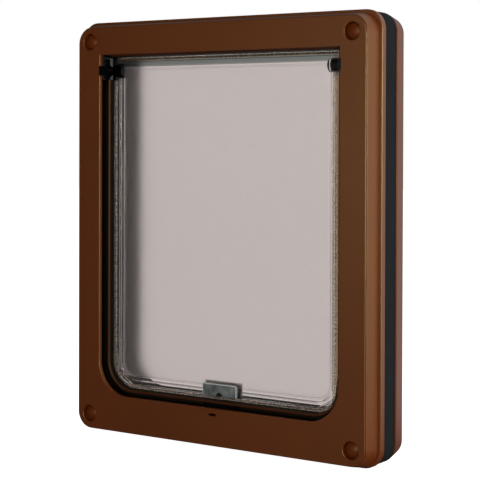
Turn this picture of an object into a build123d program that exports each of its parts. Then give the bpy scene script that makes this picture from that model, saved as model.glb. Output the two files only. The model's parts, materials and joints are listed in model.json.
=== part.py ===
from build123d import *
import os
from math import radians, tan

# A dog door for a wooden or plastic door leaf: two moulded frames clamped together by four
# long screws, a lined doorway between them, and a smoke-clear flap that swings both ways.
# X runs across the doorway, Y from the inside face to the outside face, Z is up.
# Depths are counted in millimetres from the inside face. The origin is the middle of the base.

# Raised face of the front frame
FACE_WIDTH = 300.0
FACE_HEIGHT = 362.0
FACE_RADIUS = 14.5
FACE_WALL = 3.3
FACE_ROUND = 0.5
MOUTH_ROUND = 0.5
BOX_DEPTH = 14.5
BOX_SPREAD = 3.1
BOX_RADIUS = 16.5
BOX_ROUND = 0.3
SIDE_DRAFT = 12.0
SIDE_WALL = 2.8
EDGE_LIP = 0.6
EDGE_GROOVE_WIDTH = 0.9
EDGE_GROOVE_DEEP = 0.6

# Flange that meets the door leaf, by its reach beyond the raised face
FLANGE_SIDE = 6.6
FLANGE_HEAD = 5.2
FLANGE_FOOT = 3.3
FLANGE_DEPTH = 6.2
FLANGE_RADIUS = 16.0
FLANGE_ROUND = 0.8

# Doorway in the face: square head, rounded sill corners
STILE = 24.5
HEAD_RAIL = 25.0
SILL_RAIL = 32.0
OPENING_RADIUS = 30.0
DRAIN_SLOT_WIDTH = 8.5
DRAIN_SLOT_HEIGHT = 2.4
DRAIN_SLOT_DROP = 5.3

# Corner fixings
SCREW_INSET = 13.0
RECESS_DIAMETER = 15.0
RECESS_DEPTH = 5.0
RECESS_DRAFT = 9.0
CUP_WALL = 2.0
BOSS_WALL = 3.0
SCREW_DIAMETER = 4.5
SCREW_CLEARANCE = 0.3
THREAD_CLEARANCE = 0.05
HEAD_DIAMETER = 8.4
HEAD_HEIGHT = 2.4
HEAD_RISE = 1.1
DRIVE_SLOT_WIDTH = 1.1
DRIVE_SLOT_LENGTH = 5.0
DRIVE_SLOT_DEEP = 1.3
TIP_CHAMFER = 0.9
CAP_DIAMETER = 12.4
CAP_SUNK = 0.9
CAP_RISE = 2.0
CAP_HEAD_GAP = 0.2

# Lining tube of the doorway with its collar
TUBE_INSET = 2.7
TUBE_WALL = 2.5
TUBE_FRONT = 8.0
TUBE_NOSE_ROUND = 1.1
TUBE_HEAD_INSET = 1.4
TUBE_OVERLAP = 12.0
COLLAR_THICK = 1.8
COLLAR_GAP = 0.3

# Rear frame and the seal between the frames
SEAL_DEPTH = 19.1
SEAL_STEP = 1.0
SEAL_RADIUS = 14.0
SEAL_BOSS_GAP = 2.25
REAR_DEPTH = 18.2
REAR_STEP = 0.6
REAR_LAND = 1.5
REAR_RADIUS = 14.0
REAR_ROUND = 1.6
REAR_FRONT_ROUND = 0.5
REAR_MOUTH_ROUND = 0.8
REAR_PLATE = 3.0
REAR_WALL = 2.8
SEAL_RIB = 2.0
SLEEVE_GAP = 2.5
SLEEVE_WALL = 2.5
SLEEVE_CLEARANCE = 0.3
BOSS_GAP = 0.6

# Stiffening ribs
RIB = 1.6
FRONT_STILE_RIBS = 5
FRONT_RAIL_RIBS = 4
REAR_RIBS = 6
REAR_RIB_HEIGHT = 4.5
RIB_GAP = 2.0
STILE_RIB_GAP = 13.0

# Flap
FLAP_GAP = 0.4
FLAP_HEAD_GAP = 1.7
RIM_THICK = 4.6
PANEL_THICK = 2.6
RIDGES = ((0.0, 3.2), (6.1, 7.5))
BACK_RIDGE = (9.3, 10.5)
RIDGE_ROUND = 0.45
PILE_PROUD = 1.0
PILE_DEEP = 1.8
PILE_THICK = 1.8
AXIS_DROP = 14.1

# Hinge
PIN_DIAMETER = 6.0
PIN_RUNNING_GAP = 0.05
PIN_ROOT_DIAMETER = 9.0
PIN_ROOT = 8.5
PIN_REACH = 6.5
PIN_END_GAP = 0.5
SHOULDER_DIAMETER = 8.0
SHOULDER_GAP = 0.4
LUG_WALL = 1.5
LUG_SHOULDER = 2.0
BUSH_DIAMETER = 7.6
BUSH_PROUD = 0.9
BUSH_EDGE = 0.3
BEARING_SEAT = 0.3
BEARING_WIDTH = 8.4
BEARING_BELOW = 7.8
BEARING_ABOVE = 14.0
TAB_WIDTH = 3.7
TAB_HEIGHT = 8.4
TAB_SUNK = 0.4
TAB_GAP = 0.15

# Magnets that hold the flap shut
MAGNET_WIDTH = 27.0
MAGNET_HEIGHT = 6.6
HOLDER_WIDTH = 35.6
HOLDER_HEIGHT = 10.6
HOLDER_THICK = 2.0
HOLDER_RADIUS = 1.2
HOLDER_EDGE = 0.4
HOLDER_RISE = 2.2
HOLDER_NOTCH = 2.6
REAR_HOLDER_EXTRA = 1.3
HOLDER_PIN = 2.2
HOLDER_PIN_GAP = 0.1
WINDOW_SILL = 3.0
SILL_MAGNET_WIDTH = 28.0
SILL_MAGNET_DEPTH = 7.0
SILL_MAGNET_THICK = 3.6
POCKET_GAP = 0.2
POCKET_WALL = 1.6
KEEPER_THICK = 1.2

# Worked-out places
FLANGE_BACK = BOX_DEPTH + FLANGE_DEPTH
SEAL_BACK = FLANGE_BACK + SEAL_DEPTH
TOTAL_DEPTH = SEAL_BACK + REAR_DEPTH
PLATE_FRONT = TOTAL_DEPTH - REAR_PLATE
COLLAR_FRONT = FLANGE_BACK - COLLAR_THICK
FACE_FOOT_Z = FLANGE_FOOT
FACE_TOP_Z = FACE_FOOT_Z + FACE_HEIGHT
TOTAL_HEIGHT = FACE_TOP_Z + FLANGE_HEAD
MIDDLE_Z = (FACE_FOOT_Z + FACE_TOP_Z) / 2
OPENING_WIDTH = FACE_WIDTH - 2 * STILE
SILL_Z = FACE_FOOT_Z + SILL_RAIL
HEAD_Z = FACE_TOP_Z - HEAD_RAIL
TUBE_BORE = TUBE_INSET + TUBE_WALL
AXIS_Z = HEAD_Z - AXIS_DROP
AXIS_DEPTH = COLLAR_FRONT - BUSH_DIAMETER / 2 - BUSH_EDGE
RIM_FRONT = AXIS_DEPTH - RIM_THICK / 2
RIM_BACK = AXIS_DEPTH + RIM_THICK / 2
RIM_INSET = FLAP_GAP + PILE_PROUD
FLAP_EDGE_X = OPENING_WIDTH / 2 - TUBE_BORE - RIM_INSET
FLAP_FOOT_Z = SILL_Z + TUBE_BORE + RIM_INSET
SCREW_X = FACE_WIDTH / 2 - SCREW_INSET
SCREW_RISE = FACE_HEIGHT / 2 - SCREW_INSET
BOSS_RADIUS = SCREW_DIAMETER / 2 + BOSS_WALL
BEARING_X = OPENING_WIDTH / 2 - TUBE_INSET + BEARING_SEAT
SLEEVE_FRONT = FLANGE_BACK + SLEEVE_GAP
TUBE_BACK = SLEEVE_FRONT + TUBE_OVERLAP
REAR_TAPER = (REAR_DEPTH - REAR_LAND) * tan(radians(SIDE_DRAFT))


def depth_y(depth):
    return depth - TOTAL_DEPTH / 2


def slab(face, near, far, taper=0.0):
    """A face drawn in X and Z, made solid between two depths. It narrows towards the front."""
    return extrude(Plane.XZ.offset(-depth_y(far)) * face, far - near, taper=taper)


def block(x0, x1, near, far, z0, z1):
    return slab(Pos((x0 + x1) / 2, (z0 + z1) / 2) * Rectangle(x1 - x0, z1 - z0), near, far)


def rod(radius, x0, x1):
    """A round bar along the hinge axis."""
    face = Pos(depth_y(AXIS_DEPTH), AXIS_Z) * Circle(radius)
    return extrude(Plane.YZ.offset(x0) * face, x1 - x0)


def frame_face(reach, radius):
    """Outline of the frame, moved out from the edge of the raised face."""
    return Pos(0, MIDDLE_Z) * RectangleRounded(FACE_WIDTH + 2 * reach, FACE_HEIGHT + 2 * reach, radius)


def flange_face(step, foot_step, radius):
    """Outline of the flange, moved in by one step at the foot and by another at the sides and head."""
    low = FACE_FOOT_Z - FLANGE_FOOT + foot_step
    high = FACE_TOP_Z + FLANGE_HEAD - step
    width = FACE_WIDTH + 2 * (FLANGE_SIDE - step)
    return Pos(0, (low + high) / 2) * RectangleRounded(width, high - low, radius)


def doorway_face(inset, head_inset):
    """Outline of the doorway moved in, square at the head and rounded at the sill."""
    low = SILL_Z + inset
    high = HEAD_Z - head_inset
    face = Pos(0, (low + high) / 2) * Rectangle(OPENING_WIDTH - 2 * inset, high - low)
    return fillet(face.vertices().group_by(Axis.Y)[0], OPENING_RADIUS - inset)


def flap_face(inset):
    """Outline of the flap, moved in from the wall that it swings past."""
    return doorway_face(TUBE_BORE + inset, FLAP_HEAD_GAP + inset)


def corners():
    return [(x, MIDDLE_Z + z) for x in (-SCREW_X, SCREW_X) for z in (-SCREW_RISE, SCREW_RISE)]


def dome(radius, crown, rise, floor):
    """A turned button with a domed front, standing on a floor."""
    top, shoulder, base = depth_y(crown), depth_y(crown + rise), depth_y(floor)
    crown_arc = TangentArc((0, top), (radius, shoulder), tangent=(1, 0))
    side = Polyline((radius, shoulder), (radius, base), (0, base), (0, top))
    return revolve(make_face([crown_arc, side]), Axis.Y)


def spread(count, low, high):
    """Evenly spaced places between two ends, with none on the ends."""
    return [low + (high - low) * (i + 1) / (count + 1) for i in range(count)]


def front_shell():
    """Raised face with its thin lip, the shadow groove under it, the drafted side wall and the flange."""
    wall_front = EDGE_LIP + EDGE_GROOVE_WIDTH
    lip = slab(frame_face(0, FACE_RADIUS), 0, EDGE_LIP)
    lip = fillet(lip.faces().sort_by(Axis.Y)[0].edges(), FACE_ROUND)
    neck = slab(frame_face(-EDGE_GROOVE_DEEP, FACE_RADIUS - EDGE_GROOVE_DEEP), EDGE_LIP, wall_front)
    wall = slab(frame_face(BOX_SPREAD, BOX_RADIUS), wall_front, BOX_DEPTH, SIDE_DRAFT)
    wall = fillet(wall.faces().sort_by(Axis.Y)[0].edges(), BOX_ROUND)
    flange = slab(flange_face(0, 0, FLANGE_RADIUS), BOX_DEPTH, FLANGE_BACK)
    rims = flange.faces().sort_by(Axis.Y)
    flange = fillet(rims[0].edges() + rims[-1].edges(), FLANGE_ROUND)
    return lip + neck + wall + flange


def front_frame():
    inner = frame_face(BOX_SPREAD - SIDE_WALL, BOX_RADIUS - SIDE_WALL)
    hollow = slab(inner, FACE_WALL, BOX_DEPTH, SIDE_DRAFT) + slab(inner, BOX_DEPTH, FLANGE_BACK)
    body = front_shell() - hollow
    body -= slab(doorway_face(0, 0), 0, FACE_WALL)
    body += front_ribs(hollow)
    body += front_bosses()
    for x, z in corners():
        spot = Pos(x, z)
        floor_radius = RECESS_DIAMETER / 2 - RECESS_DEPTH * tan(radians(RECESS_DRAFT))
        body -= slab(spot * Circle(floor_radius), 0, RECESS_DEPTH, -RECESS_DRAFT)
        body -= slab(spot * Circle(SCREW_DIAMETER / 2 + SCREW_CLEARANCE), RECESS_DEPTH, COLLAR_FRONT)
    mouths = body.faces().sort_by(Axis.Y)[0].inner_wires()
    body = fillet(mouths.edges(), MOUTH_ROUND)
    drain = Pos(0, SILL_Z - DRAIN_SLOT_DROP) * SlotOverall(DRAIN_SLOT_WIDTH, DRAIN_SLOT_HEIGHT)
    body -= slab(drain, 0, FACE_WALL)
    for side in (-1, 1):
        body -= bearing_tab(side, TAB_GAP, 0)
    return body


def front_bosses():
    """Cups under the corner recesses, each with a post that the collar is screwed against."""
    bosses = []
    for x, z in corners():
        spot = Pos(x, z)
        cup_floor = RECESS_DEPTH + CUP_WALL
        bosses.append(slab(spot * Circle(RECESS_DIAMETER / 2 + CUP_WALL), FACE_WALL, cup_floor))
        bosses.append(slab(spot * Circle(BOSS_RADIUS), cup_floor, COLLAR_FRONT))
    return bosses


def front_ribs(hollow):
    """Ribs from the side walls towards the doorway, trimmed by the hollow of the frame."""
    half = FACE_WIDTH / 2
    ribs = Part()
    for z in spread(FRONT_STILE_RIBS, SILL_Z, AXIS_Z - BEARING_BELOW):
        for side in (-1, 1):
            x0, x1 = sorted((side * (OPENING_WIDTH / 2 + STILE_RIB_GAP), side * (half + BOX_SPREAD)))
            ribs += block(x0, x1, FACE_WALL, COLLAR_FRONT, z - RIB / 2, z + RIB / 2)
    head = HEAD_Z - TUBE_HEAD_INSET + TUBE_WALL + RIB_GAP
    keeper = SILL_Z + TUBE_INSET - SILL_MAGNET_THICK - KEEPER_THICK
    sill = min(SILL_Z, keeper) - RIB_GAP
    for x in spread(FRONT_RAIL_RIBS, -OPENING_WIDTH / 2, OPENING_WIDTH / 2):
        ribs += block(x - RIB / 2, x + RIB / 2, FACE_WALL, COLLAR_FRONT, head, TOTAL_HEIGHT)
        ribs += block(x - RIB / 2, x + RIB / 2, FACE_WALL, COLLAR_FRONT, 0, sill)
    return ribs & hollow


def front_tunnel():
    outer = doorway_face(TUBE_INSET, TUBE_HEAD_INSET - TUBE_WALL)
    bore = doorway_face(TUBE_BORE, TUBE_HEAD_INSET)
    tube = slab(outer - bore, TUBE_FRONT, TUBE_BACK)
    nose = tube.faces().sort_by(Axis.Y)[0].edges()
    tube = fillet(nose, TUBE_NOSE_ROUND)
    reach = BOX_SPREAD - SIDE_WALL - COLLAR_GAP
    tube += slab(frame_face(reach, BOX_RADIUS - BOX_SPREAD + reach) - bore, COLLAR_FRONT, FLANGE_BACK)
    for x, z in corners():
        hole = Pos(x, z) * Circle(SCREW_DIAMETER / 2 + SCREW_CLEARANCE)
        tube -= slab(hole, COLLAR_FRONT, FLANGE_BACK)
    for side in (-1, 1):
        x0, x1 = sorted((side * FLAP_EDGE_X, side * (OPENING_WIDTH / 2)))
        tube -= block(x0, x1, TUBE_FRONT, COLLAR_FRONT, AXIS_Z - BEARING_BELOW, AXIS_Z + BEARING_ABOVE)
    return tube


def sill_magnet():
    under = SILL_Z + TUBE_INSET
    half = SILL_MAGNET_WIDTH / 2
    return block(-half, half, AXIS_DEPTH - SILL_MAGNET_DEPTH / 2, AXIS_DEPTH + SILL_MAGNET_DEPTH / 2,
                 under - SILL_MAGNET_THICK, under)


def sill_magnet_keeper():
    """A tray under the sill that holds the lower magnet against the tube, below the closed flap."""
    under = SILL_Z + TUBE_INSET
    floor = under - SILL_MAGNET_THICK
    half = SILL_MAGNET_WIDTH / 2 + POCKET_GAP
    near = AXIS_DEPTH - SILL_MAGNET_DEPTH / 2 - POCKET_GAP
    far = AXIS_DEPTH + SILL_MAGNET_DEPTH / 2 + POCKET_GAP
    tray = block(-half - POCKET_WALL, half + POCKET_WALL, near - POCKET_WALL, COLLAR_FRONT,
                 floor - KEEPER_THICK, under)
    return tray - block(-half, half, near, far, floor, under)


def bearing_tab(side, gap, front):
    """The tab of a hinge bearing that shows in a notch of the doorway's edge."""
    x0, x1 = sorted((side * BEARING_X, side * (BEARING_X + TAB_WIDTH + gap)))
    half = TAB_HEIGHT / 2 + gap
    return block(x0, x1, front, FACE_WALL, AXIS_Z - half, AXIS_Z + half)


def hinge_bearing(side):
    """Black bearing block behind the doorway's edge, clamped between face and collar."""
    x0, x1 = sorted((side * BEARING_X, side * (BEARING_X + BEARING_WIDTH)))
    body = block(x0, x1, FACE_WALL, COLLAR_FRONT, AXIS_Z - BEARING_BELOW, AXIS_Z + BEARING_ABOVE)
    body += bearing_tab(side, 0, TAB_SUNK)
    bush = sorted((side * (BEARING_X - BUSH_PROUD), side * BEARING_X))
    body += rod(BUSH_DIAMETER / 2, *bush)
    socket = sorted((side * (BEARING_X - BUSH_PROUD), side * (BEARING_X + PIN_REACH + PIN_END_GAP)))
    return body - rod(PIN_DIAMETER / 2 + PIN_RUNNING_GAP, *socket)


def hinge_pin(side):
    """Stub pin pressed into the flap's lug, with a shoulder that keeps the flap central."""
    root = sorted((side * (FLAP_EDGE_X - PIN_ROOT), side * FLAP_EDGE_X))
    shoulder = sorted((side * FLAP_EDGE_X, side * (BEARING_X - BUSH_PROUD - SHOULDER_GAP)))
    journal = sorted((side * FLAP_EDGE_X, side * (BEARING_X + PIN_REACH)))
    turned = rod(PIN_ROOT_DIAMETER / 2, *root) + rod(SHOULDER_DIAMETER / 2, *shoulder)
    return turned + rod(PIN_DIAMETER / 2, *journal)


def pile_strip():
    """Brush pile all round the flap, seated in a groove in its edge."""
    ring = flap_face(FLAP_GAP) - flap_face(RIM_INSET + PILE_DEEP)
    return slab(ring, AXIS_DEPTH - PILE_THICK / 2, AXIS_DEPTH + PILE_THICK / 2)


def side_pile():
    """Strip down one side, across the foot and up the other side, ending below the hinge."""
    half = FACE_WIDTH / 2
    clear = block(-half, half, 0, TOTAL_DEPTH, AXIS_Z - BEARING_BELOW, TOTAL_HEIGHT)
    return pile_strip() - clear


def head_pile():
    reach = FLAP_EDGE_X - RIDGES[0][1]
    return pile_strip() & block(-reach, reach, 0, TOTAL_DEPTH, AXIS_Z, TOTAL_HEIGHT)


def flap_panel():
    body = slab(flap_face(RIM_INSET), AXIS_DEPTH - PANEL_THICK / 2, AXIS_DEPTH + PANEL_THICK / 2)
    for start, end in RIDGES:
        ring = flap_face(RIM_INSET + start) - flap_face(RIM_INSET + end)
        ridge = slab(ring, RIM_FRONT, RIM_BACK)
        faces = ridge.faces().sort_by(Axis.Y)
        body += fillet(faces[0].edges() + faces[-1].edges(), RIDGE_ROUND)
    start, end = BACK_RIDGE
    ring = flap_face(RIM_INSET + start) - flap_face(RIM_INSET + end)
    ridge = slab(ring, AXIS_DEPTH, RIM_BACK)
    body += fillet(ridge.faces().sort_by(Axis.Y)[-1].edges(), RIDGE_ROUND)
    for side in (-1, 1):
        lug = sorted((side * (FLAP_EDGE_X - PIN_ROOT - LUG_SHOULDER), side * FLAP_EDGE_X))
        body += rod(PIN_ROOT_DIAMETER / 2 + LUG_WALL, *lug)
        socket = sorted((side * (FLAP_EDGE_X - PIN_ROOT), side * FLAP_EDGE_X))
        body -= rod(PIN_ROOT_DIAMETER / 2, *socket)
    body -= [side_pile(), head_pile()]
    low = FLAP_FOOT_Z + WINDOW_SILL
    half = MAGNET_WIDTH / 2
    body -= block(-half, half, RIM_FRONT, RIM_BACK, low, low + MAGNET_HEIGHT)
    for x in holder_pins():
        hole = Pos(x, low + MAGNET_HEIGHT / 2) * Circle(HOLDER_PIN / 2 + HOLDER_PIN_GAP)
        body -= slab(hole, RIM_FRONT, RIM_BACK)
    return body


def flap_magnet():
    low = FLAP_FOOT_Z + WINDOW_SILL
    half = MAGNET_WIDTH / 2
    return block(-half, half, RIM_FRONT, RIM_BACK, low, low + MAGNET_HEIGHT)


def holder_pins():
    place = (HOLDER_WIDTH + MAGNET_WIDTH) / 4
    return (-place, place)


def holder_face(extra):
    low = FLAP_FOOT_Z + HOLDER_RISE
    width = HOLDER_WIDTH + 2 * extra
    height = HOLDER_HEIGHT + extra
    return Pos(0, low + height / 2) * RectangleRounded(width, height, HOLDER_RADIUS)


def magnet_holder_front():
    """Front half of the magnet's holder, with a finger notch and two pins through the rim."""
    body = slab(holder_face(0), RIM_FRONT - HOLDER_THICK, RIM_FRONT)
    body = fillet(body.faces().sort_by(Axis.Y)[0].edges(), HOLDER_EDGE)
    notch = Pos(0, FLAP_FOOT_Z + HOLDER_RISE) * Circle(HOLDER_NOTCH)
    body -= slab(notch, RIM_FRONT - HOLDER_THICK, RIM_FRONT - HOLDER_THICK / 2)
    centre = FLAP_FOOT_Z + WINDOW_SILL + MAGNET_HEIGHT / 2
    for x in holder_pins():
        body += slab(Pos(x, centre) * Circle(HOLDER_PIN / 2), RIM_FRONT, RIM_BACK + HOLDER_THICK / 2)
    return body


def magnet_holder_rear():
    body = slab(holder_face(REAR_HOLDER_EXTRA), RIM_BACK, RIM_BACK + HOLDER_THICK)
    body = fillet(body.faces().sort_by(Axis.Y)[-1].edges(), HOLDER_EDGE)
    centre = FLAP_FOOT_Z + WINDOW_SILL + MAGNET_HEIGHT / 2
    for x in holder_pins():
        hole = Pos(x, centre) * Circle(HOLDER_PIN / 2 + HOLDER_PIN_GAP)
        body -= slab(hole, RIM_BACK, RIM_BACK + HOLDER_THICK / 2 + HOLDER_PIN_GAP)
    return body


def seal_inner():
    """Inner outline of the seal, concentric with the screw posts at its corners."""
    clear = BOSS_RADIUS + SEAL_BOSS_GAP
    return frame_face(clear - SCREW_INSET, clear)


def weather_seal():
    outer = flange_face(SEAL_STEP, SEAL_STEP, SEAL_RADIUS)
    return slab(outer - seal_inner(), FLANGE_BACK, SEAL_BACK)


def rear_shell():
    """Tray with a straight land where it meets the seal and walls that draft in towards the outside."""
    land_back = SEAL_BACK + REAR_LAND
    land = slab(flange_face(REAR_STEP, 0, REAR_RADIUS + REAR_TAPER), SEAL_BACK, land_back)
    land = fillet(land.faces().sort_by(Axis.Y)[0].edges(), REAR_FRONT_ROUND)
    back = flange_face(REAR_STEP + REAR_TAPER, REAR_TAPER, REAR_RADIUS)
    walls = slab(back, land_back, TOTAL_DEPTH, -SIDE_DRAFT)
    walls = fillet(walls.faces().sort_by(Axis.Y)[-1].edges(), REAR_ROUND)
    inset = REAR_TAPER + REAR_WALL
    hollow = flange_face(REAR_STEP + inset, inset, REAR_RADIUS - REAR_WALL)
    return land + walls - slab(hollow, SEAL_BACK, PLATE_FRONT, -SIDE_DRAFT)


def rear_frame():
    body = rear_shell()
    clear = BOSS_RADIUS + SEAL_BOSS_GAP
    rib_outer = frame_face(clear - SCREW_INSET + SEAL_RIB, clear + SEAL_RIB)
    body += slab(rib_outer - seal_inner(), SEAL_BACK, PLATE_FRONT)
    bore_inset = TUBE_INSET - SLEEVE_CLEARANCE
    bore_head = TUBE_HEAD_INSET - TUBE_WALL - SLEEVE_CLEARANCE
    bore = doorway_face(bore_inset, bore_head)
    sleeve = doorway_face(bore_inset - SLEEVE_WALL, bore_head - SLEEVE_WALL)
    body += rear_ribs() & slab(seal_inner(), SEAL_BACK, PLATE_FRONT)
    body += slab(sleeve, SLEEVE_FRONT, PLATE_FRONT)
    body -= slab(bore, SLEEVE_FRONT, TOTAL_DEPTH)
    body = fillet(body.faces().sort_by(Axis.Y)[-1].inner_wires().edges(), REAR_MOUTH_ROUND)
    for x, z in corners():
        body += slab(Pos(x, z) * Circle(BOSS_RADIUS), FLANGE_BACK + BOSS_GAP, PLATE_FRONT)
        hole = Pos(x, z) * Circle(SCREW_DIAMETER / 2 + THREAD_CLEARANCE)
        body -= slab(hole, FLANGE_BACK + BOSS_GAP, PLATE_FRONT)
    return body


def rear_ribs():
    """Low ribs inside the rear plate, crossing the space between sleeve and seal rib."""
    near = PLATE_FRONT - REAR_RIB_HEIGHT
    half = FACE_WIDTH / 2
    ribs = Part()
    for z in spread(REAR_RIBS, SILL_Z, HEAD_Z):
        ribs += block(-half, half, near, PLATE_FRONT, z - RIB / 2, z + RIB / 2)
    for x in spread(REAR_RIBS, -OPENING_WIDTH / 2, OPENING_WIDTH / 2):
        ribs += block(x - RIB / 2, x + RIB / 2, near, PLATE_FRONT, 0, TOTAL_HEIGHT)
    return ribs


def fixing_screw(x, z):
    """Long screw from the recess floor into the rear frame's post."""
    head = dome(HEAD_DIAMETER / 2, RECESS_DEPTH - HEAD_HEIGHT, HEAD_RISE, RECESS_DEPTH)
    for width, height in ((DRIVE_SLOT_WIDTH, DRIVE_SLOT_LENGTH), (DRIVE_SLOT_LENGTH, DRIVE_SLOT_WIDTH)):
        drive = Rectangle(width, height)
        head -= slab(drive, RECESS_DEPTH - HEAD_HEIGHT, RECESS_DEPTH - HEAD_HEIGHT + DRIVE_SLOT_DEEP)
    tip = PLATE_FRONT - SCREW_DIAMETER / 2
    shank = slab(Circle(SCREW_DIAMETER / 2), RECESS_DEPTH, tip)
    shank = chamfer(shank.edges().group_by(Axis.Y)[-1], TIP_CHAMFER)
    return Pos(x, 0, z) * (head + shank)


def screw_cap(x, z):
    """Domed cap that hides a screw head, bored out from behind to clear it."""
    shell = dome(CAP_DIAMETER / 2, CAP_SUNK, CAP_RISE, RECESS_DEPTH)
    bore = Circle(HEAD_DIAMETER / 2 + CAP_HEAD_GAP)
    hollow = slab(bore, RECESS_DEPTH - HEAD_HEIGHT - CAP_HEAD_GAP, RECESS_DEPTH)
    return Pos(x, 0, z) * (shell - hollow)


def all_parts():
    parts = {
        "front_frame": front_frame(),
        "front_tunnel": front_tunnel(),
        "rear_frame": rear_frame(),
        "weather_seal": weather_seal(),
        "sill_magnet": sill_magnet(),
        "sill_magnet_keeper": sill_magnet_keeper(),
        "flap_panel": flap_panel(),
        "flap_side_pile": side_pile(),
        "flap_head_pile": head_pile(),
        "flap_magnet": flap_magnet(),
        "magnet_holder_front": magnet_holder_front(),
        "magnet_holder_rear": magnet_holder_rear(),
    }
    for name, side in (("left", -1), ("right", 1)):
        parts["hinge_bearing_" + name] = hinge_bearing(side)
        parts["hinge_pin_" + name] = hinge_pin(side)
    for number, (x, z) in enumerate(corners(), 1):
        parts[f"fixing_screw_{number}"] = fixing_screw(x, z)
        parts[f"screw_cap_{number}"] = screw_cap(x, z)
    return parts


os.makedirs("parts", exist_ok=True)
for node, shape in all_parts().items():
    export_step(shape, f"parts/{node}.step")
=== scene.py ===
import json
import math
import random

import bmesh
import bpy
from mathutils import Matrix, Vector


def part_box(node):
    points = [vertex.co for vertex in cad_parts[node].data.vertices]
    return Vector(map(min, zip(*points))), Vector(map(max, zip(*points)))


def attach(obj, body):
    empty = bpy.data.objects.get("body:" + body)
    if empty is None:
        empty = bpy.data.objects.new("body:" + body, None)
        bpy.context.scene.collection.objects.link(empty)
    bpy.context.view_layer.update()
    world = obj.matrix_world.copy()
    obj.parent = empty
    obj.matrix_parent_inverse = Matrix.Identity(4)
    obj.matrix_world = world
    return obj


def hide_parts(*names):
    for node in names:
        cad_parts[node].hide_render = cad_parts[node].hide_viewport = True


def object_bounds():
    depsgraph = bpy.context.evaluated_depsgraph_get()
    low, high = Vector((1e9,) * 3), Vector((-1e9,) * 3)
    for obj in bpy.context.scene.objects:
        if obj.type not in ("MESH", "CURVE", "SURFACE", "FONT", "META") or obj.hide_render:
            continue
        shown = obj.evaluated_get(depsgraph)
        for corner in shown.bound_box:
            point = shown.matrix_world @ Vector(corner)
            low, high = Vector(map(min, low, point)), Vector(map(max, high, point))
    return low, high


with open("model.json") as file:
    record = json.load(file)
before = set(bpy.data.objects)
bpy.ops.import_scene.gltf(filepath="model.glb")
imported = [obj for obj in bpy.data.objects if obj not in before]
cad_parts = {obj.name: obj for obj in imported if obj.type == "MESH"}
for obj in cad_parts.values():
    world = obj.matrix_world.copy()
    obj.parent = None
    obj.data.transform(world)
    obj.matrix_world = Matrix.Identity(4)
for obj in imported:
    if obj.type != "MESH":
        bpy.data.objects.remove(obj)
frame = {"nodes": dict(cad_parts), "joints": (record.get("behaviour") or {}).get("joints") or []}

cad_low, cad_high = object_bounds()
bpy.ops.object.select_all(action="DESELECT")


# Front frame, lining tube and rear frame
# Three injection mouldings of brown ABS, satin off spark-eroded moulds: the face that shows indoors, the
# tube that lines the hole in the door leaf, and the frame that closes it outdoors. The tube is painted a
# darker brown as shade, and its far end and the rear frame's mouth, which lie deep in the doorway, are
# painted nearly black as shade.
FACE_BROWN = ("#421804", "#4A1D05")
# the tube's brown, darker than the face's, is painted shade
SHADED_TUBE_BROWN = ("#2C130A", "#33170C")
# near-black painted as shade where the tube and the rear frame's mouth lie deep in the doorway
PAINTED_SHADE_BLACK = "#0A0706"
WARM_BLOOM = "#FFE5A6"
GRAIN_SIZE = 0.0011
GRAIN_RELIEF = 0.00006
PIGMENT_FLOW = 0.060
# where the painted shade starts: past a depth in the tube, and inside the rear frame's mouth
TUBE_SHADE = -0.0206
SHADE_EDGE = 0.0010
NO_SHADE = 1.0
REAR_MOUTH = (0.1262, 0.1532, 0.1878)
NO_MOUTH = (0.0, 0.0, 0.0)


def linear(colour):
    """An sRGB hex colour as the linear values that a colour socket takes."""
    parts = [int(colour[i:i + 2], 16) / 255 for i in (1, 3, 5)]
    return [p / 12.92 if p <= 0.04045 else ((p + 0.055) / 1.055) ** 2.4 for p in parts] + [1.0]


def add(tree, kind, settings={}, links={}):
    """Adds a node, sets its properties and sockets by name or number, and links outputs into its sockets."""
    node = tree.nodes.new("ShaderNode" + kind)
    for name, value in settings.items():
        if isinstance(name, str) and hasattr(node, name):
            setattr(node, name, value)
        else:
            node.inputs[name].default_value = value
    for name, output in links.items():
        tree.links.new(output, node.inputs[name])
    return node


def blank_material(name):
    """A material with no nodes yet but the coordinates of the object that wears it."""
    material = bpy.data.materials.new(name)
    material.use_nodes = True
    material.node_tree.nodes.clear()
    place = add(material.node_tree, "TexCoord").outputs["Object"]
    return material, material.node_tree, place


def dress(node, material):
    """Gives every slot of a CAD node the same material."""
    for slot in frame["nodes"][node].material_slots:
        slot.material = material


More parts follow.
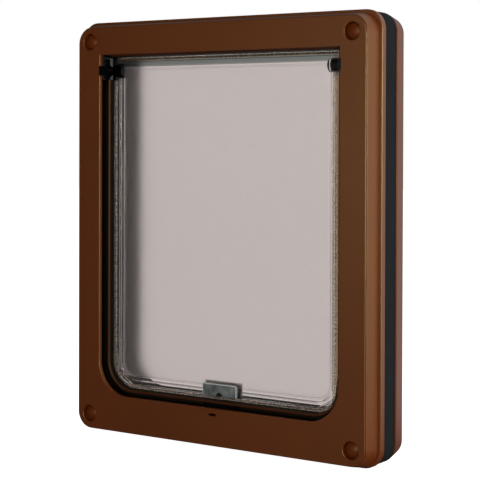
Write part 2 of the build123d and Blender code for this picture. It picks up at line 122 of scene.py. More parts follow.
def satin_brown_abs(name, gloss, brown=FACE_BROWN, shade_from=NO_SHADE, mouth=NO_MOUTH):
    """Moulded ABS off a spark-eroded tool. The eye gets a dry, dense orange brown with hardly any mirror
    image, a warm bloom where light grazes it, a faint drift of the pigment across a large face, and a fine
    grain, drawn some ten times as coarse as the real one so that it shows. Behind the depth shade_from, and
    inside a mouth given by its half width, half height and middle height, it is painted near-black as shade."""
    material, tree, place = blank_material(name)
    flow = add(tree, "TexNoise", {"Scale": 1 / PIGMENT_FLOW, "Detail": 2.0}, {"Vector": place})
    grain = add(tree, "TexNoise", {"Scale": 1 / GRAIN_SIZE, "Detail": 2.0, "Roughness": 0.6},
                {"Vector": place})
    pigment = add(tree, "Mix", {"data_type": "RGBA", 6: linear(brown[0]), 7: linear(brown[1])},
                  {0: flow.outputs["Fac"]})
    # painted shade: past the depth shade_from and inside the mouth the brown turns near-black and rough
    spot = add(tree, "SeparateXYZ", links={"Vector": place})
    deep = add(tree, "MapRange", {"From Min": shade_from, "From Max": shade_from + SHADE_EDGE},
               {"Value": spot.outputs["Y"]})
    half_width, half_height, middle = mouth
    across = add(tree, "Math", {"operation": "COMPARE", 1: 0.0, 2: half_width}, {0: spot.outputs["X"]})
    upright = add(tree, "Math", {"operation": "COMPARE", 1: middle, 2: half_height}, {0: spot.outputs["Z"]})
    painted_shade_mask = add(tree, "Math", {"operation": "MULTIPLY_ADD"},
                 {0: across.outputs[0], 1: upright.outputs[0], 2: deep.outputs["Result"]})
    colour = add(tree, "Mix", {"data_type": "RGBA", 7: linear(PAINTED_SHADE_BLACK)},
                 {0: painted_shade_mask.outputs[0], 6: pigment.outputs[2]})
    satin = add(tree, "MapRange", {"To Min": 0.34, "To Max": 0.40}, {"Value": grain.outputs["Fac"]})
    rough = add(tree, "Mix", {"data_type": "FLOAT", 3: 0.90},
                {0: painted_shade_mask.outputs[0], 2: satin.outputs["Result"]})
    relief = add(tree, "Bump", {"Strength": 0.25, "Distance": GRAIN_RELIEF}, {"Height": grain.outputs["Fac"]})
    skin = add(tree, "BsdfPrincipled",
               {"IOR": 1.53, "Specular IOR Level": gloss, "Specular Tint": linear(WARM_BLOOM)},
               {"Base Color": colour.outputs[2], "Roughness": rough.outputs[0],
                "Normal": relief.outputs["Normal"]})
    add(tree, "OutputMaterial", links={"Surface": skin.outputs["BSDF"]})
    return material


dress("front_frame", satin_brown_abs("face brown ABS", gloss=0.62))
dress("rear_frame", satin_brown_abs("rear brown ABS", gloss=0.17, mouth=REAR_MOUTH))
dress("front_tunnel", satin_brown_abs("tube brown ABS", gloss=0.20, brown=SHADED_TUBE_BROWN, shade_from=TUBE_SHADE))


# Weather seal
# A band of black closed-cell foam rubber between the two frames, squeezed to the door's thickness by the
# screws. Its outer face swells a little between the two hard edges that pinch it.
SEAL_CORNER = 0.0140
SEAL_WALL = 0.0072
SEAL_PINCH = 0.0005
SEAL_LOOPS = 7
NEAR = 0.00001
PORE_SIZE = 0.0012
PORE_DEPTH = 0.00010
BLOOM_SIZE = 0.0182


def pick(kind, test):
    """Selects the vertices, edges or faces of the open mesh that pass a test, and nothing else."""
    bpy.ops.mesh.select_mode(type={"verts": "VERT", "edges": "EDGE", "faces": "FACE"}[kind])
    bpy.ops.mesh.select_all(action="DESELECT")
    mesh = bmesh.from_edit_mesh(bpy.context.edit_object.data)
    for item in getattr(mesh, kind):
        if test(item):
            item.select_set(True)
    bmesh.update_edit_mesh(bpy.context.edit_object.data)


def along_y(edge):
    """True for an edge that runs through the door's depth."""
    span = edge.verts[1].co - edge.verts[0].co
    return abs(span.y) > 0.99 * span.length


def closed_cell_foam():
    """Skinned EPDM foam. The eye gets a soft, nearly black grey with a dull sheen, a faint bloom in patches,
    and the prick of small pores, drawn three times as coarse as real ones so that they show."""
    material, tree, place = blank_material("closed-cell foam rubber")
    pores = add(tree, "TexVoronoi", {"Scale": 1 / PORE_SIZE}, {"Vector": place})
    bloom = add(tree, "TexNoise", {"Scale": 1 / BLOOM_SIZE, "Detail": 3.0}, {"Vector": place})
    colour = add(tree, "Mix", {"data_type": "RGBA", 6: linear("#111213"), 7: linear("#171819")},
                 {0: bloom.outputs["Fac"]})
    relief = add(tree, "Bump", {"Strength": 0.35, "Distance": PORE_DEPTH},
                 {"Height": pores.outputs["Distance"]})
    skin = add(tree, "BsdfPrincipled", {"IOR": 1.50, "Specular IOR Level": 0.02, "Roughness": 0.60},
               {"Base Color": colour.outputs[2], "Normal": relief.outputs["Normal"]})
    add(tree, "OutputMaterial", links={"Surface": skin.outputs["BSDF"]})
    return material


seal_low, seal_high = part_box("weather_seal")
seal_middle = (seal_low + seal_high) / 2
seal_half_depth = (seal_high.y - seal_low.y) / 2
bpy.ops.mesh.primitive_cube_add(size=1, location=seal_middle, scale=seal_high - seal_low)
seal = bpy.context.object
seal.name = "foam_seal_band"
bpy.ops.object.transform_apply()
bpy.ops.object.mode_set(mode="EDIT")
pick("edges", along_y)
bpy.ops.mesh.bevel(offset=SEAL_CORNER, segments=14)
pick("faces", lambda face: abs(face.normal.y) > 0.99)
bpy.ops.mesh.delete(type="FACE")
pick("edges", along_y)
bpy.ops.mesh.subdivide(number_cuts=SEAL_LOOPS)
bpy.ops.mesh.select_all(action="SELECT")
bpy.ops.mesh.normals_make_consistent(inside=False)
for loop in range(SEAL_LOOPS + 2):
    # reach runs from -1 at the front edge to 1 at the back edge, and the pinch grows with its square
    reach = 2 * loop / (SEAL_LOOPS + 1) - 1
    depth = seal_middle.y + reach * seal_half_depth
    pick("verts", lambda vertex: abs(vertex.co.y - depth) < NEAR)
    bpy.ops.transform.shrink_fatten(value=-SEAL_PINCH * reach ** 2)
bpy.ops.object.mode_set(mode="OBJECT")
wall = seal.modifiers.new("wall", "SOLIDIFY")
wall.thickness = SEAL_WALL
wall.offset = -1
wall.use_even_offset = True
bpy.ops.object.modifier_apply(modifier="wall")
bpy.ops.object.shade_smooth_by_angle(angle=math.radians(35))
seal.data.materials.append(closed_cell_foam())
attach(seal, "frame")
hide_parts("weather_seal")


# Screws and their caps
# Four long zinc-plated steel screws pull the frames together from indoors. A domed cap of the same brown ABS,
# off a polished mould, is pressed into each recess over the screw's head.
DRAWN_GRAIN = 0.000556
GRAIN_STRETCH = 0.08
PLATING_RELIEF = 0.00003
CAP_FLOW = 0.00333


def zinc_plate():
    """Bright zinc on turned steel. The eye gets a cool grey metal with a fine drawn grain along the shank."""
    material, tree, place = blank_material("bright zinc plate")
    stretch = add(tree, "Mapping", {"Scale": (1.0, GRAIN_STRETCH, 1.0)}, {"Vector": place})
    grain = add(tree, "TexNoise", {"Scale": 1 / DRAWN_GRAIN, "Detail": 3.0},
                {"Vector": stretch.outputs["Vector"]})
    rough = add(tree, "MapRange", {"To Min": 0.22, "To Max": 0.42}, {"Value": grain.outputs["Fac"]})
    relief = add(tree, "Bump", {"Strength": 0.2, "Distance": PLATING_RELIEF},
                 {"Height": grain.outputs["Fac"]})
    skin = add(tree, "BsdfPrincipled", {"Base Color": linear("#B4B8BC"), "Metallic": 1.0},
               {"Roughness": rough.outputs["Result"], "Normal": relief.outputs["Normal"]})
    add(tree, "OutputMaterial", links={"Surface": skin.outputs["BSDF"]})
    return material


def polished_brown_abs():
    """The frame's brown off a polished mould. The eye gets a smooth button with a soft round highlight."""
    material, tree, place = blank_material("polished brown ABS")
    flow = add(tree, "TexNoise", {"Scale": 1 / CAP_FLOW, "Detail": 2.0}, {"Vector": place})
    colour = add(tree, "Mix", {"data_type": "RGBA", 6: linear(FACE_BROWN[0]), 7: linear(FACE_BROWN[1])},
                 {0: flow.outputs["Fac"]})
    rough = add(tree, "MapRange", {"To Min": 0.36, "To Max": 0.42}, {"Value": flow.outputs["Fac"]})
    skin = add(tree, "BsdfPrincipled",
               {"IOR": 1.53, "Specular IOR Level": 0.16, "Specular Tint": linear(WARM_BLOOM)},
               {"Base Color": colour.outputs[2], "Roughness": rough.outputs["Result"]})
    add(tree, "OutputMaterial", links={"Surface": skin.outputs["BSDF"]})
    return material


screw_zinc = zinc_plate()
cap_brown = polished_brown_abs()
for number in range(1, 5):
    dress(f"fixing_screw_{number}", screw_zinc)
    dress(f"screw_cap_{number}", cap_brown)


# Hinge
# A bearing block of black acetal stands behind the doorway's edge on each side, with a tab that shows in a
# notch of the face. A stub pin of the same acetal is pressed into each lug of the flap and turns in it.
SINK_MARK = 0.00238
SINK_DEPTH = 0.00008


def black_acetal():
    """Moulded acetal, dense and slippery. The eye gets a deep black with sharp small highlights, broken up by
    shallow sink marks."""
    material, tree, place = blank_material("black acetal")
    wave = add(tree, "TexNoise", {"Scale": 1 / SINK_MARK, "Detail": 2.0}, {"Vector": place})
    rough = add(tree, "MapRange", {"To Min": 0.08, "To Max": 0.14}, {"Value": wave.outputs["Fac"]})
    relief = add(tree, "Bump", {"Strength": 0.15, "Distance": SINK_DEPTH}, {"Height": wave.outputs["Fac"]})
    skin = add(tree, "BsdfPrincipled",
               {"Base Color": linear("#040405"), "IOR": 1.48, "Specular IOR Level": 0.50},
               {"Roughness": rough.outputs["Result"], "Normal": relief.outputs["Normal"]})
    add(tree, "OutputMaterial", links={"Surface": skin.outputs["BSDF"]})
    return material


acetal = black_acetal()
for node in ("hinge_bearing_left", "hinge_bearing_right", "hinge_pin_left", "hinge_pin_right"):
    dress(node, acetal)


# Flap
# One moulding of smoke-tinted polycarbonate: a thin window with a fine matt stipple, inside three raised
# ridges that stiffen its edge and are left clear and polished. The bar along its head is matt too, and tinted
# a darker grey-green as painted shade and reflection of the dark roof above it. The brush pile behind the rim
# is painted into its tint on the right and above the bar, with a painted shadow in a band along the outer
# edge and painted shade that turns the pile browner towards the outside.
WINDOW_INSET = 0.0105
HEAD_BAR = 0.0076
RIM_EDGE = 0.0004
BAR_EDGE = 0.0010
LUG_LENGTH = 0.0108
LUG_HALF_HEIGHT = 0.0066
CORNER_WIDTH = 0.0034
CORNER_DROP = 0.0088
PILE_SEEN = 0.0063
# width of the painted shadow in a band along the rim's outer edge
PILE_SHADOW = 0.0070
# where the painted shade that browns the pile starts and where it is full
OUTER_SHADE_START = 0.0046
OUTER_SHADE_FULL = 0.0032
HEAD_PILE_SEEN = 0.0022
TUFT_SIZE = 0.0013
STIPPLE_SIZE = 0.0014
STIPPLE_RELIEF = 0.00012
GRIT_SIZE = 0.0012
POLISH_FLOW = 0.0286

flap_low, flap_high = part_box("flap_panel")
hinge_axis = frame["joints"][0]["pos_m"]
corner_foot = hinge_axis[2] - CORNER_DROP


def smoked_polycarbonate():
    """Tinted polycarbonate. The eye gets a warm grey veil that blurs what lies behind the window into soft
    shade, with a speckle where the dark tube shows through, and bright clean lines along the polished ridges.
    The stipple, the grit in it and the tufts of pile are drawn some five times as coarse as real ones so that
    they show. The IOR is below the real 1.58, because the backdrop is brighter than a room, and at 1.58 its
    reflection would wash the pane out."""
    material, tree, place = blank_material("smoked polycarbonate")
    spot = add(tree, "SeparateXYZ", links={"Vector": place})

    # the rim is all that lies outside the window, and the bar is the rim's part above it
    window_low, window_high = flap_low.z + WINDOW_INSET, flap_high.z - HEAD_BAR
    middle = (0.0, 0.0, (window_low + window_high) / 2)
    half_width, half_height = flap_high.x - WINDOW_INSET, (window_high - window_low) / 2
    centred = add(tree, "VectorMath", {"operation": "SUBTRACT", 1: middle}, {0: place})
    size = add(tree, "VectorMath", {"operation": "ABSOLUTE"}, {0: centred.outputs["Vector"]})
    reach = add(tree, "SeparateXYZ", links={"Vector": size.outputs["Vector"]})
    beside = add(tree, "Math", {"operation": "SUBTRACT", 1: half_width}, {0: reach.outputs["X"]})
    above = add(tree, "Math", {"operation": "SUBTRACT", 1: half_height}, {0: reach.outputs["Z"]})
    outside = add(tree, "Math", {"operation": "MAXIMUM"}, {0: beside.outputs[0], 1: above.outputs[0]})
    rim = add(tree, "MapRange", {"From Min": -RIM_EDGE, "From Max": RIM_EDGE}, {"Value": outside.outputs[0]})
    bar = add(tree, "MapRange", {"From Min": window_high, "From Max": window_high + BAR_EDGE},
              {"Value": spot.outputs["Z"]})
    clear = add(tree, "Math", {"operation": "SUBTRACT", "use_clamp": True},
                {0: rim.outputs["Result"], 1: bar.outputs["Result"]})
    # painted shade and reflection: the bar's darker grey-green stands for the dark roof above it
    bar_shaded = add(tree, "Mix", {"data_type": "RGBA", 6: linear("#C2B8B5"), 7: linear("#717370")},
                 {0: bar.outputs["Result"]})

    # the brush pile through the rim: a painted shadow in a band along the outer edge, salt-and-pepper tufts,
    # and painted shade that turns the pile browner towards the outside
    # painted shadow: a darker band along the rim's outer edge
    shade = add(tree, "Math", {"operation": "GREATER_THAN", 1: flap_high.x - PILE_SHADOW},
                {0: spot.outputs["X"]})
    painted_pile_shadow = add(tree, "Mix", {"data_type": "RGBA", 7: linear("#655B56")},
               {0: shade.outputs[0], 6: bar_shaded.outputs[2]})
    tufts = add(tree, "TexNoise", {"Scale": 1 / TUFT_SIZE, "Detail": 1.0}, {"Vector": place})
    speckle = add(tree, "MapRange", {"From Min": 0.44, "From Max": 0.56}, {"Value": tufts.outputs["Fac"]})
    lit = add(tree, "Mix", {"data_type": "RGBA", 6: linear("#6B5C4E"), 7: linear("#B5A48D")},
              {0: speckle.outputs["Result"]})
    # painted shade: the pile turns browner towards the outside edge
    tips = add(tree, "MapRange",
               {"From Min": flap_high.x - OUTER_SHADE_START, "From Max": flap_high.x - OUTER_SHADE_FULL},
               {"Value": spot.outputs["X"]})
    brush = add(tree, "Mix", {"data_type": "RGBA", 7: linear("#80624A")},
                {0: tips.outputs["Result"], 6: lit.outputs[2]})
    below = add(tree, "Math", {"operation": "LESS_THAN", 1: corner_foot}, {0: spot.outputs["Z"]})
    out = add(tree, "Math", {"operation": "GREATER_THAN", 1: flap_high.x - PILE_SEEN}, {0: spot.outputs["X"]})
    right = add(tree, "Math", {"operation": "MULTIPLY"}, {0: out.outputs[0], 1: below.outputs[0]})
    over = add(tree, "Math", {"operation": "GREATER_THAN", 1: flap_high.z - HEAD_PILE_SEEN},
               {0: spot.outputs["Z"]})
    piled = add(tree, "Math", {"operation": "MAXIMUM"}, {0: right.outputs[0], 1: over.outputs[0]})
    smoke = add(tree, "Mix", {"data_type": "RGBA"},
                {0: piled.outputs[0], 6: painted_pile_shadow.outputs[2], 7: brush.outputs[2]})

    # the lug and corner at the left end, dark with the acetal pin and block behind them
    off_axis = add(tree, "Math", {"operation": "SUBTRACT", 1: hinge_axis[2]}, {0: spot.outputs["Z"]})
    drop = add(tree, "Math", {"operation": "ABSOLUTE"}, {0: off_axis.outputs[0]})
    level = add(tree, "Math", {"operation": "LESS_THAN", 1: LUG_HALF_HEIGHT}, {0: drop.outputs[0]})
    end = add(tree, "Math", {"operation": "LESS_THAN", 1: LUG_LENGTH - flap_high.x}, {0: spot.outputs["X"]})
    lug = add(tree, "Math", {"operation": "MULTIPLY"}, {0: level.outputs[0], 1: end.outputs[0]})
    high = add(tree, "Math", {"operation": "GREATER_THAN", 1: corner_foot}, {0: spot.outputs["Z"]})
    edge = add(tree, "Math", {"operation": "LESS_THAN", 1: CORNER_WIDTH - flap_high.x},
               {0: spot.outputs["X"]})
    corner = add(tree, "Math", {"operation": "MULTIPLY"}, {0: high.outputs[0], 1: edge.outputs[0]})
    black = add(tree, "Math", {"operation": "MAXIMUM"}, {0: lug.outputs[0], 1: corner.outputs[0]})
    tint = add(tree, "Mix", {"data_type": "RGBA", 7: linear("#060606")},
               {0: black.outputs[0], 6: smoke.outputs[2]})

    # the matt stipple and its haze, both gone where the rim is clear
    flow = add(tree, "TexNoise", {"Scale": 1 / POLISH_FLOW, "Detail": 2.0}, {"Vector": place})
    matt = add(tree, "MapRange", {"To Min": 0.32, "To Max": 0.37}, {"Value": flow.outputs["Fac"]})
    rough = add(tree, "Mix", {"data_type": "FLOAT", 3: 0.05},
                {0: clear.outputs[0], 2: matt.outputs["Result"]})
    stipple = add(tree, "TexVoronoi", {"Scale": 1 / STIPPLE_SIZE}, {"Vector": place})
    height = add(tree, "Mix", {"data_type": "FLOAT", 3: 0.5},
                 {0: clear.outputs[0], 2: stipple.outputs["Distance"]})
    relief = add(tree, "Bump", {"Strength": 0.40, "Distance": STIPPLE_RELIEF}, {"Height": height.outputs[0]})
    grit = add(tree, "TexNoise", {"Scale": 1 / GRIT_SIZE, "Detail": 1.0}, {"Vector": place})
    milky = add(tree, "MapRange", {"From Min": 0.40, "From Max": 0.60, "To Min": 0.89, "To Max": 0.99},
                {"Value": grit.outputs["Fac"]})
    haze = add(tree, "Mix", {"data_type": "FLOAT", 3: 0.98},
               {0: clear.outputs[0], 2: milky.outputs["Result"]})
    skin = add(tree, "BsdfPrincipled", {"IOR": 1.28},
               {"Base Color": tint.outputs[2], "Roughness": rough.outputs[0],
                "Normal": relief.outputs["Normal"], "Transmission Weight": haze.outputs[0]})
    add(tree, "OutputMaterial", links={"Surface": skin.outputs["BSDF"]})
    return material


dress("flap_panel", smoked_polycarbonate())


# Brush pile
# Strips of grey polypropylene fibres seated in a groove all round the flap's edge. They brush the tube and
# keep the draught out. Each strip is a woven backing with three rows of short upright fibres, drawn three
# times as coarse as real ones so that they show.
PILE_EDGE_RADIUS = 0.0234
PILE_SEAT = 0.0018
PILE_WIDTH = 0.0017
PILE_BACKING = 0.0005
FIBRE_PROUD = 0.0010
FIBRE_UNEVEN = 0.0003
FIBRE_RADIUS = 0.00024
FIBRE_SPACING = 0.00075
FIBRE_ROWS = (-0.00050, 0.0, 0.00050)
FIBRE_STRAY = 0.00012
LEAN_ACROSS = 0.07
LEAN_ALONG = 0.09
PILE_CELL = 0.024
TIP_SIZE = 0.00111
ON_EDGE = 0.0001

random.seed(7)


def polypropylene_pile():
    """Cut polypropylene fibres. The eye gets a salt-and-pepper line of light tips against dark gaps."""
    material, tree, place = blank_material("polypropylene pile")
    tuft = add(tree, "TexNoise", {"Scale": 1 / TIP_SIZE, "Detail": 1.0}, {"Vector": place})
    tone = add(tree, "MapRange", {"From Min": 0.42, "From Max": 0.58}, {"Value": tuft.outputs["Fac"]})
    colour = add(tree, "Mix", {"data_type": "RGBA", 6: linear("#2E2823"), 7: linear("#D8CCBB")},
                 {0: tone.outputs["Result"]})
    fibre = add(tree, "BsdfPrincipled",
                {"IOR": 1.49, "Specular IOR Level": 0.4, "Roughness": 0.45, "Sheen Weight": 0.2},
                {"Base Color": colour.outputs[2]})
    add(tree, "OutputMaterial", links={"Surface": fibre.outputs["BSDF"]})
    return material


def lay_pile(path, name, node):
    """Models one stretch of pile, repeats it along a path in X and Y, and stands the strip up in the flap."""
    length = path.data.splines[0].calc_length()
    count = round(length / PILE_CELL)
    cell = length / count
    bpy.ops.object.select_all(action="DESELECT")
    bpy.ops.mesh.primitive_cube_add(size=1, location=(cell / 2, PILE_SEAT - PILE_BACKING / 2, 0),
                                    scale=(cell, PILE_BACKING, PILE_WIDTH))
    strip = bpy.context.object
    strip.name = name
    bpy.ops.object.transform_apply()
    bpy.ops.object.mode_set(mode="EDIT")
    pick("faces", lambda face: abs(face.normal.x) > 0.99)
    bpy.ops.mesh.delete(type="FACE")
    for row in FIBRE_ROWS:
        for step in range(round(cell / FIBRE_SPACING)):
            fibre = PILE_SEAT + FIBRE_PROUD - random.uniform(0.0, FIBRE_UNEVEN)
            spot = ((step + random.uniform(0.3, 0.7)) * FIBRE_SPACING, PILE_SEAT - fibre / 2,
                    row + random.uniform(-FIBRE_STRAY, FIBRE_STRAY))
            lean = (math.pi / 2 + random.gauss(0, LEAN_ACROSS), 0, random.gauss(0, LEAN_ALONG))
            bpy.ops.mesh.primitive_cone_add(vertices=4, radius1=FIBRE_RADIUS, radius2=FIBRE_RADIUS / 2,
                                            depth=fibre, end_fill_type="NGON", location=spot, rotation=lean)
    bpy.ops.object.mode_set(mode="OBJECT")
    repeat = strip.modifiers.new("repeat", "ARRAY")
    repeat.count = count
    repeat.use_relative_offset = False
    repeat.use_constant_offset = True
    repeat.constant_offset_displace = (cell, 0, 0)
    repeat.use_merge_vertices = True
    repeat.merge_threshold = NEAR
    follow = strip.modifiers.new("follow", "CURVE")
    follow.object = path
    bpy.ops.object.modifier_apply(modifier="repeat")
    bpy.ops.object.modifier_apply(modifier="follow")
    strip.rotation_euler.x = math.pi / 2
    strip.location.y = hinge_axis[1]
    bpy.ops.object.transform_apply()
    bpy.data.objects.remove(path)
    strip.data.materials.append(pile_fibre)
    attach(strip, "flap")
    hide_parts(node)


def as_path(keep, start_left):
    """Cuts the flap's flat outline down to the edges that pass a test, and makes them a curve."""
    pick("edges", lambda edge: not keep((edge.verts[0].co + edge.verts[1].co) / 2))
    bpy.ops.mesh.delete(type="EDGE")
    bpy.ops.object.mode_set(mode="OBJECT")
    bpy.ops.object.convert(target="CURVE")
    path = bpy.context.object
    path.data.twist_mode = "Z_UP"
    points = path.data.splines[0].points
    if (points[0].co.x < points[-1].co.x) != start_left:
        bpy.ops.object.mode_set(mode="EDIT")
        bpy.ops.curve.select_all(action="SELECT")
        bpy.ops.curve.switch_direction()
        bpy.ops.object.mode_set(mode="OBJECT")
    return path


def flap_outline(top):
    """The flap's edge as a flat sheet in X and Y, with its two lower corners rounded, opened for editing."""
    bpy.ops.object.select_all(action="DESELECT")
    middle, half_height = (top + flap_low.z) / 2, (top - flap_low.z) / 2
    bpy.ops.mesh.primitive_plane_add(size=2, location=(0, middle, 0))
    bpy.context.object.scale = (flap_high.x, half_height, 1)
    bpy.ops.object.transform_apply()
    bpy.ops.object.mode_set(mode="EDIT")
    pick("verts", lambda vertex: vertex.co.y < middle)
    bpy.ops.mesh.bevel(offset=PILE_EDGE_RADIUS, segments=16, affect="VERTICES")
    bpy.ops.mesh.select_all(action="SELECT")
    bpy.ops.mesh.delete(type="ONLY_FACE")


pile_fibre = polypropylene_pile()
side_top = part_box("flap_side_pile")[1].z
head_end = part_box("flap_head_pile")[1].x
flap_outline(side_top)
lay_pile(as_path(lambda middle: middle.y < side_top - ON_EDGE, True), "side_pile", "flap_side_pile")
flap_outline(flap_high.z)
head_path = as_path(lambda middle: middle.y > flap_high.z - ON_EDGE, False)
for point in head_path.data.splines[0].points:
    point.co.x = math.copysign(head_end, point.co.x)
lay_pile(head_path, "head_pile", "flap_head_pile")


# Magnets and their holder
# A nickel-plated bar magnet is trapped in the flap's foot between two halves of a grey holder. A second one
# lies under the sill in a tray of black acetal. They pull the flap shut on its centre line.
# width of the painted highlight along the top and side edges, then where it starts and where it is full
EDGE_HIGHLIGHT = 0.0008
HIGHLIGHT_START = -0.0001
HIGHLIGHT_FULL = 0.0002
# radius of the painted shade at the foot
NOTCH_SHADE = 0.0032
CLOUD_SIZE = 0.0077
CLOUD_RELIEF = 0.0002
PIT_SIZE = 0.000714


def grey_polycarbonate(name, low, high):
    """Grey-tinted glossy polycarbonate. The eye gets a cold grey-green block, cloudy inside, with painted
    highlights as bright glassy lines along its top and side edges, and painted shade in a dark half-round
    where its foot is notched."""
    material, tree, place = blank_material(name)
    cloud = add(tree, "TexNoise", {"Scale": 1 / CLOUD_SIZE, "Detail": 1.0, "Distortion": 0.6},
                {"Vector": place})
    depth = add(tree, "MapRange", {"From Min": 0.35, "From Max": 0.65}, {"Value": cloud.outputs["Fac"]})
    body = add(tree, "Mix", {"data_type": "RGBA", 6: linear("#3D413F"), 7: linear("#5D605E")},
               {0: depth.outputs["Result"]})
    spot = add(tree, "SeparateXYZ", links={"Vector": place})
    # painted highlight: a bright band along the top and side edges
    side = add(tree, "Math", {"operation": "ABSOLUTE"}, {0: spot.outputs["X"]})
    past = add(tree, "Math", {"operation": "SUBTRACT", 1: high.x - EDGE_HIGHLIGHT}, {0: side.outputs[0]})
    over = add(tree, "Math", {"operation": "SUBTRACT", 1: high.z - EDGE_HIGHLIGHT}, {0: spot.outputs["Z"]})
    rim = add(tree, "Math", {"operation": "MAXIMUM"}, {0: past.outputs[0], 1: over.outputs[0]})
    glow = add(tree, "MapRange", {"From Min": HIGHLIGHT_START, "From Max": HIGHLIGHT_FULL}, {"Value": rim.outputs[0]})
    lit = add(tree, "Mix", {"data_type": "RGBA", 7: linear("#949894")},
              {0: glow.outputs["Result"], 6: body.outputs[2]})
    # painted shade: a dark half-round at the foot
    flat = add(tree, "VectorMath", {"operation": "MULTIPLY", 1: (1.0, 0.0, 1.0)}, {0: place})
    away = add(tree, "VectorMath", {"operation": "DISTANCE", 1: (0.0, 0.0, low.z)},
               {0: flat.outputs["Vector"]})
    painted_notch_shade = add(tree, "Math", {"operation": "LESS_THAN", 1: NOTCH_SHADE}, {0: away.outputs["Value"]})
    colour = add(tree, "Mix", {"data_type": "RGBA", 7: linear("#101211")},
                 {0: painted_notch_shade.outputs[0], 6: lit.outputs[2]})
    relief = add(tree, "Bump", {"Strength": 0.3, "Distance": CLOUD_RELIEF}, {"Height": cloud.outputs["Fac"]})
    skin = add(tree, "BsdfPrincipled", {"IOR": 1.58, "Specular IOR Level": 0.12, "Roughness": 0.12},
               {"Base Color": colour.outputs[2], "Normal": relief.outputs["Normal"]})
    add(tree, "OutputMaterial", links={"Surface": skin.outputs["BSDF"]})
    return material


def nickel_plate():
    """Nickel on a sintered magnet. The eye gets a slightly warm silver, a little uneven from sintering."""
    material, tree, place = blank_material("nickel plate")
    pits = add(tree, "TexNoise", {"Scale": 1 / PIT_SIZE, "Detail": 3.0}, {"Vector": place})
    rough = add(tree, "MapRange", {"To Min": 0.18, "To Max": 0.34}, {"Value": pits.outputs["Fac"]})
    relief = add(tree, "Bump", {"Strength": 0.2, "Distance": PLATING_RELIEF}, {"Height": pits.outputs["Fac"]})
    skin = add(tree, "BsdfPrincipled", {"Base Color": linear("#B9B4A8"), "Metallic": 1.0},
               {"Roughness": rough.outputs["Result"], "Normal": relief.outputs["Normal"]})
    add(tree, "OutputMaterial", links={"Surface": skin.outputs["BSDF"]})
    return material


for node, half in (("magnet_holder_front", "front"), ("magnet_holder_rear", "rear")):
    dress(node, grey_polycarbonate(f"grey polycarbonate {half}", *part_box(node)))
magnet_nickel = nickel_plate()
for node in ("flap_magnet", "sill_magnet"):
    dress(node, magnet_nickel)
dress("sill_magnet_keeper", acetal)


# Studio
# A pale floor before a white backdrop, with black cloth behind the camera, which keeps reflections off the
# face while the sides and the pane mirror the backdrop. Four soft lamps: the main one in front, a weak one in
# front on the left, a weak one high on the right, and one level with the door on the right for its sides.
FLOOR_RADIUS = 6.0
AMBIENT = (0.24, 0.24, 0.24, 1.0)
WHITE = (1.0, 1.0, 1.0, 1.0)
FLOOR_PALE = (0.80, 0.80, 0.80, 1.0)
FLOOR_MIRRORED = (0.05, 0.05, 0.05, 1.0)
FLOOR_WHITE = (0.96, 0.96, 0.96, 1.0)


def white_surround(tree, reflected):
    """White to the camera, through glass, and in reflections as far as they meet the backdrop. All other rays
    see a plain pale surface or sky."""
    rays = add(tree, "LightPath").outputs
    gloss = add(tree, "Math", {"operation": "MULTIPLY"}, {0: rays["Is Glossy Ray"], 1: reflected})
    other = add(tree, "Math", {"operation": "MAXIMUM"}, {0: rays["Is Transmission Ray"], 1: gloss.outputs[0]})
    shown = add(tree, "Math", {"operation": "ADD", "use_clamp": True},
                {0: other.outputs[0], 1: rays["Is Camera Ray"]})
    return shown.outputs[0]


world = bpy.data.worlds.new("studio")
bpy.context.scene.world = world
world.use_nodes = True
sky_tree = world.node_tree
sky_tree.nodes.clear()
# the backdrop fades in behind the object, and thins out to the left
gaze = add(sky_tree, "SeparateXYZ", links={"Vector": add(sky_tree, "TexCoord").outputs["Generated"]})
rear = add(sky_tree, "MapRange", {"From Min": -0.1, "From Max": 0.2}, {"Value": gaze.outputs["Y"]})
right = add(sky_tree, "MapRange", {"From Min": -0.5, "From Max": 0.2, "To Min": 0.15},
            {"Value": gaze.outputs["X"]})
backdrop = add(sky_tree, "Math", {"operation": "MULTIPLY"},
               {0: rear.outputs["Result"], 1: right.outputs["Result"]})
sky_seen = white_surround(sky_tree, backdrop.outputs[0])
soft = add(sky_tree, "Math", {"operation": "SUBTRACT", 0: 1.0},
           {1: add(sky_tree, "LightPath").outputs["Is Glossy Ray"]})
ambient = add(sky_tree, "Background", {"Color": AMBIENT}, {"Strength": soft.outputs[0]})
white = add(sky_tree, "Background", {"Color": WHITE})
sky = add(sky_tree, "MixShader", links={0: sky_seen, 1: ambient.outputs[0], 2: white.outputs[0]})
add(sky_tree, "OutputWorld", links={"Surface": sky.outputs[0]})

bpy.ops.object.select_all(action="DESELECT")
bpy.ops.mesh.primitive_circle_add(vertices=96, radius=FLOOR_RADIUS, fill_type="NGON", location=(0, 0, 0))
floor = bpy.context.object
floor.name = "floor"
bpy.ops.object.transform_apply()
floor_paint, floor_tree, floor_place = blank_material("pale floor")
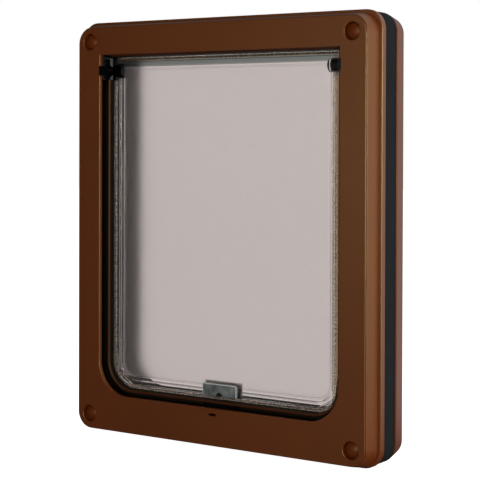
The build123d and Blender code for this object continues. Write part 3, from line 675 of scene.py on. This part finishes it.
# behind the object the floor is as white in reflections as the backdrop, and in front as dark as the cloth
ground = add(floor_tree, "SeparateXYZ", links={"Vector": floor_place})
sweep = add(floor_tree, "MapRange", {"From Min": 0.0, "From Max": 0.3, "To Max": 0.85},
            {"Value": ground.outputs["Y"]})
floor_seen = white_surround(floor_tree, sweep.outputs["Result"])
mirror = add(floor_tree, "LightPath").outputs["Is Glossy Ray"]
pale = add(floor_tree, "Mix", {"data_type": "RGBA", 6: FLOOR_PALE, 7: FLOOR_MIRRORED}, {0: mirror})
paint = add(floor_tree, "BsdfDiffuse", links={"Color": pale.outputs[2]})
glow = add(floor_tree, "Emission", {"Color": FLOOR_WHITE}, {"Strength": floor_seen})
lit = add(floor_tree, "AddShader", links={0: paint.outputs[0], 1: glow.outputs[0]})
add(floor_tree, "OutputMaterial", links={"Surface": lit.outputs[0]})
floor.data.materials.append(floor_paint)

# name, place, width, height and power
LAMPS = (
    ("front_lamp", (0.75, -2.25, 0.25), 0.90, 0.40, 28.0),
    ("gloss_lamp", (-0.86, -2.13, 0.25), 0.30, 0.40, 2.2),
    ("fill_lamp", (1.1, -1.7, 1.2), 0.50, 0.50, 14.0),
    ("side_lamp", (2.4, -0.07, 0.35), 0.20, 0.20, 68.0),
)
aim = (cad_low + cad_high) / 2
for name, spot, width, height, power in LAMPS:
    bpy.ops.object.light_add(type="AREA", location=spot)
    lamp = bpy.context.object
    lamp.name = name
    lamp.data.shape = "RECTANGLE"
    lamp.data.size = width
    lamp.data.size_y = height
    lamp.data.energy = power
    lamp.rotation_euler = (aim - lamp.location).to_track_quat("-Z", "Y").to_euler()


# Camera
# It stands in front on the right, a little above the middle, where the photograph was taken from.
CAMERA_PLACE = (0.73806, -1.04844, 0.26945)
CAMERA_TURN = 0.60811
CAMERA_DIP = 0.01184
CAMERA_ROLL = 0.00304
FOCAL_PIXELS = 1478.2
FRAME_PIXELS = 480.0
HORIZON_RISE = 88.22
SENSOR = 36.0

bpy.ops.object.camera_add()
camera = bpy.context.object
camera.data.sensor_width = SENSOR
camera.data.lens = SENSOR * FOCAL_PIXELS / FRAME_PIXELS
camera.data.shift_y = -HORIZON_RISE / FRAME_PIXELS
camera.matrix_world = (Matrix.Translation(CAMERA_PLACE)
                       @ Matrix.Rotation(CAMERA_TURN, 4, "Z")
                       @ Matrix.Rotation(math.pi / 2 - CAMERA_DIP, 4, "X")
                       @ Matrix.Rotation(CAMERA_ROLL, 4, "Z"))
bpy.context.scene.camera = camera
bpy.context.scene.view_settings.view_transform = "Standard"
